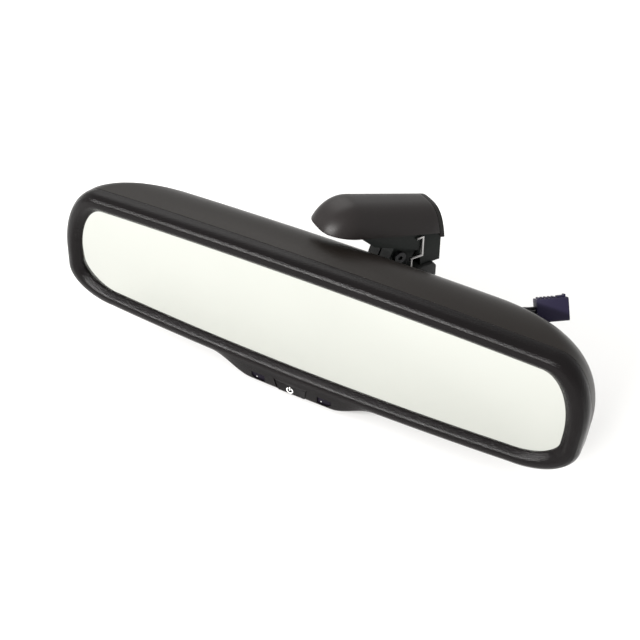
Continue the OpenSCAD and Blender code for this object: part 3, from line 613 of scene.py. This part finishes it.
def make_bezel():
    seam = SEAM_Y - SEAM_GAP / 2
    points = [[0, 0, 0], [0, -0.6, 0], [RING_W * 0.28, -RIDGE_H + 0.4, 0], [RING_W * 0.43, -RIDGE_H, 0],
              [RING_W * 0.66, -RIDGE_H + 0.5, 0.05], [RING_W * 0.83, -RIDGE_H + 1.5, 0.93],
              [RING_W * 0.96, -RIDGE_H + 3.6, 1], [RING_W, -RIDGE_H + 5.6, 1], [RING_W, seam, 1],
              [LAP_OUT, seam, 1], [LAP_OUT, LAP_FRONT, 1], [LAP_IN, LAP_FRONT, 1], [LAP_IN - 0.4, 0, 1]]
    shares = [(0, 0), (0.5, 0.12), (0.35, 0.5), (0.5, 0.5), (0.5, 0.1), (0.1, 0.5), (0.5, 0.5), (0.5, 0.3),
              (0.12, 0.3), (0, 0), (0, 0), (0, 0), (0, 0)]
    piece = drape("bezel_ring", [ring(d, y, pod) for d, y, pod in filleted(points, shares)], closed=True)
    carve(piece, prism("button_opening", button_corners(BUTTON_GAP), -8, 2.5, head_frame),
          prism("left_opening", window_corners(LEFT_WINDOW, -1, 0.1), -8, 2.25, head_frame),
          prism("right_opening", window_corners(RIGHT_WINDOW, 1, 0.1), -8, 2.25, head_frame))
    smooth(piece, 38)
    mount_on(piece, "head", case_gloss, "case_gloss", "bezel")


def make_housing():
    turns = [88.5, 86, 83, 79] + list(range(75, 15, -5)) + [16, 12, 9, 6, 4, 2, 0.8, 0]
    tongue, seam = LAP_OUT - SEAM_GAP, SEAM_Y + SEAM_GAP / 2
    rings = [back_ring(q, WALL) for q in turns]
    rings += [ring(LAP_IN, LAP_FRONT + SEAM_GAP, 1), ring(tongue, LAP_FRONT + SEAM_GAP, 1),
              ring(tongue, seam, 1), ring(RING_W - 0.25, seam, 1), ring(RING_W - 0.08, seam + 0.08, 1)]
    rings += [back_ring(q, 0) for q in reversed(turns[:-2])]
    piece = drape("rear_shell", rings)
    carve(piece, bar("socket_bore", (0, BALL_Z), SOCKET_R + 0.4, BALL_Y - 6, BALL_Y + 16, 96),
          bar("lead_bore", (30, -14), LEAD_D / 2 + 1.6, BACK_Y - 8, BACK_Y + 8),
          bar("lens_bore", (-30, 7), 2.9, 20, BACK_Y + 8))
    smooth(piece, 38)
    mount_on(piece, "head", case_satin, "case_satin", "rear_housing")


def make_glass():
    edge = [(GLASS_LAP - 0.35, 0.0), (GLASS_LAP - 0.1, 0.1), (GLASS_LAP, 0.35), (GLASS_LAP, GLASS_T - 0.35),
            (GLASS_LAP - 0.1, GLASS_T - 0.1), (GLASS_LAP - 0.35, GLASS_T)]
    piece = drape("mirror_glass", [ring(d, y) for d, y in edge])
    smooth(piece, 20)
    mount_on(piece, "head", silver, "mirror", "front_glass")


def make_button():
    piece = prism("power_key", button_corners(0), -4, 0.1, head_frame)
    for vertex in piece.data.vertices:
        place = head_frame.inverted() @ vertex.co
        if place.y < -1:
            place.y = face_y(place.z, 0.25)
            vertex.co = head_frame @ place
    soften(piece, 0.4, 3)

    def dish():
        pick(piece, lambda middle, normal: normal.y < -0.9)
        bpy.ops.mesh.inset(thickness=0.0005, depth=0)
        bpy.ops.transform.translate(value=(0, 0.00009, 0))
    in_edit(piece, dish, "FACE", everything=False)
    left, right = BUTTON_X - BUTTON_W / 2 - 1.2, BUTTON_X + BUTTON_W / 2 + 1.2
    top, low = BUTTON_TOP + 1.4, FACE_BOTTOM[0] + 1.3
    flange = prism("key_flange", [(left, top), (right, top), (right, low), (left, low)], 0.1, 1.3,
                   head_frame)
    soften(flange, 0.2)
    only(piece, flange)
    bpy.ops.object.join()
    mount_on(piece, "button", button_black, "button", "power_button")


# ---------- mount ----------

def hood_arch(f, wall, steps=48):
    """One arch across the hood at f along its line, set in by a wall."""
    t = max(0.0, min(1.0, (f + HOOD_NOSE - wall) / NOSE_L))
    e = math.sqrt(max(0.0004, 1 - (1 - t) ** 2))
    w = (HOOD_W / 2 - wall) * (0.3 + 0.7 * e)
    base = 18.0
    top = base + 8 + (HOOD_CROWN - wall + 0.09 * f - base - 8) * e
    arch = []
    for i in range(steps + 1):
        a = math.pi * i / steps
        ca, sa = math.cos(a), math.sin(a)
        arch.append(mount_frame @ Vector((-w * math.copysign(abs(ca) ** (2 / ARCH_POWER), ca), f,
                                          base + (top - base) * abs(sa) ** (2 / ARCH_POWER))))
    return arch


def hood_block(name, wall):
    start = -HOOD_NOSE + wall
    nose = [start + NOSE_L * (1 - math.cos(math.pi / 2 * k / 14)) for k in range(15)]
    return drape(name, [hood_arch(f, wall) for f in nose + [0, 10, 20, 30, 38, HOOD_END + wall]])


def slice_off(piece, point, normal):
    """Cuts a piece along a plane and closes it, leaving what lies behind the normal."""
    def cut():
        bpy.ops.mesh.bisect(plane_co=point, plane_no=normal, use_fill=True, clear_outer=True,
                            clear_inner=False)
    in_edit(piece, cut)


def hood_part(name, lower, seat_from, seat_to):
    """The hood's shell between its leg line and a slice of the seat frame."""
    piece = hood_block(name, 0.0)
    carve(piece, hood_block(name + "_hollow", HOOD_WALL))
    lean = math.atan(LEG_RISE)
    turned = mount_frame.to_3x3().normalized()
    slice_off(piece, mount_frame @ Vector((0, 0, LEG_LOW - lower)),
              turned @ Vector((0, math.sin(lean), -math.cos(lean))))
    out = (seat_frame.to_3x3() @ Vector((0, 0, 1))).normalized()
    slice_off(piece, seat_frame @ Vector((0, 0, seat_to)), out)
    if seat_from is not None:
        slice_off(piece, seat_frame @ Vector((0, 0, seat_from)), -out)
    return piece


def make_hood():
    rim_top = RAIL_TOP - 0.2
    shell = hood_part("hood_shell", 0.0, None, rim_top - RIM_W - 0.2)
    soften(shell, 0.35, 2, angle=50)
    mount_on(shell, "mount", hood_plastic, "hood", "mount_hood")
    rim = hood_part("hood_seal_rim", RIM_TAB, rim_top - RIM_W, rim_top)
    soften(rim, 0.3, 2, angle=50)
    mount_on(rim, "mount", rim_plastic, "hood", "hood_rim")


# ---------- lead ----------

def curve_through(points, per_span):
    """A smooth path through points, with so many steps to each span."""
    made, last = [], len(points) - 1
    for i in range(last):
        a, b, c, e = points[max(0, i - 1)], points[i], points[i + 1], points[min(last, i + 2)]
        for k in range(per_span):
            t = k / per_span
            made.append(0.5 * (2 * b + (c - a) * t + (2 * a - 5 * b + 4 * c - e) * t * t
                               + (3 * b - a - 3 * c + e) * t * t * t))
    return made + [points[last]]


def across_path(path, i):
    """The side and up directions square to a path at one of its points."""
    ahead = (path[min(len(path) - 1, i + 1)] - path[max(0, i - 1)]).normalized()
    side = ahead.cross(Vector((0, 0, 1))).normalized()
    return side, side.cross(ahead)


def sleeve(name, path, radius_at, sides=20):
    """A round sleeve along a path in the head's frame."""
    rings = []
    for i, point in enumerate(path):
        side, up = across_path(path, i)
        r = radius_at(i / (len(path) - 1))
        rings.append([head_frame @ (point + r * (math.cos(w) * side - math.sin(w) * up))
                      for w in (2 * math.pi * k / sides for k in range(sides))])
    piece = drape(name, rings)
    smooth(piece, 60)
    return piece


def make_lead():
    start = Vector((30.0, BACK_Y + 5.4, -14.0))
    offsets = [(0, 0, 0), (0, 5, 0.5), (4.5, 9, 2.5), (12, 9.5, 6.5), (20, 7, 11.5), (28, 3.5, 16.5),
               (36, 1.2, 21.2), (44, -0.2, 25.4), (52, -0.6, 28.4), (59, 1.6, 30)]
    path = curve_through([start + Vector(o) for o in offsets], 10)
    tape = sleeve("lead_tape", path[:81], lambda t: LEAD_D / 2 - (0.35 if t > 0.985 else 0.0))
    mount_on(tape, "head", tape_finish(), "lead", "harness_lead")
    fifths = [2 * math.pi * k / 5 for k in range(5)]
    spots = [(math.cos(a) * WIRE_RING, math.sin(a) * WIRE_RING) for a in fifths] + [(0.0, 0.0)]
    run = path[76:]
    for number, (across, rise) in enumerate(spots):
        wire_path = []
        for i, point in enumerate(run):
            side, up = across_path(run, i)
            twist = 0.5 * i / len(run)
            c, s = math.cos(twist), math.sin(twist)
            wire_path.append(point + side * (across * c - rise * s) + up * (across * s + rise * c))
        wire = sleeve(f"lead_wire_{number + 1}", wire_path, lambda t: WIRE_R, sides=12)
        mount_on(wire, "head", wire_black, "lead")


# ---------- the rest ----------

def finish_nodes():
    """Eased copies for the solids that are seen, and finishes for those that carry over as they are."""
    eased("mount_bracket", 0.45, cast_black, "cast")
    eased("lock_block", 0.5, block_black, "inner_plastic")
    eased("spring_clip", 0.22, bright_strip, "spring_steel")
    eased("connector_body", 0.4, indigo, "connector")
    eased("connector_lock", 0.25, indigo, "connector")
    left_die = (LEFT_WINDOW - 0.9, face_y(WINDOW_Z - 0.7, 0.5), WINDOW_Z - 0.7)
    right_die = (RIGHT_WINDOW - 1.6, face_y(WINDOW_Z - 0.6, 0.5), WINDOW_Z - 0.6)
    eased("indicator_window", 0.18, window_finish("left_acrylic", left_die), "window")
    eased("sensor_window", 0.18, window_finish("right_acrylic", right_die), "window")
    eased("lead_grommet", 0.25, rubber_black, "rubber")
    eased("lead_clips", 0.3, inner_black, "inner_plastic")
    eased("ball_socket", 0.3, inner_black, "inner_plastic")
    carried = {
        "dimming_gel": clear_finish("dimming_gel_tint", (0.42, 0.52, 0.45), (0.50, 0.58, 0.52)),
        "gel_seal": moulded("seal_grey", (0.20, 0.205, 0.21), (0.28, 0.285, 0.29), 0.5, 900.0, 0.00002),
        "rear_glass": clear_finish("rear_glass_back", (0.30, 0.33, 0.32), (0.36, 0.39, 0.38)),
        "bus_clips": copper, "foam_pad": foam_finish(), "carrier_plate": inner_black,
        "circuit_board": board_finish(),
        "board_chips": epoxy, "board_header": natural, "tact_switch": epoxy,
        "indicator_led": clear_finish("diode_cap", (0.70, 0.80, 0.62), (0.82, 0.90, 0.74)),
        "glare_sensor": clear_finish("sensor_cap", (0.03, 0.035, 0.05), (0.05, 0.055, 0.08)),
        "ambient_sensor": clear_finish("top_sensor_cap", (0.03, 0.035, 0.05), (0.05, 0.055, 0.08)),
        "ambient_lens": clear_finish("smoked_lens", (0.035, 0.036, 0.038), (0.055, 0.056, 0.058)),
        "power_symbol": printed, "switch_plunger": natural, "ball_liner": natural,
        "spring_cup": bright_strip,
        "socket_screws": zinc, "inner_lead": wire_black, "connector_pins": gold, "ball_stud": ball_metal,
        "clamp_screw": black_zinc,
    }
    for name, finish in carried.items():
        node = frame["nodes"][name]
        for holder in node.material_slots:
            holder.material = finish.material
        if not node.material_slots:
            node.data.materials.append(finish.material)


set_camera()
set_studio()
make_bezel()
make_housing()
make_glass()
make_button()
make_hood()
make_lead()
finish_nodes()

bpy.context.view_layer.update()
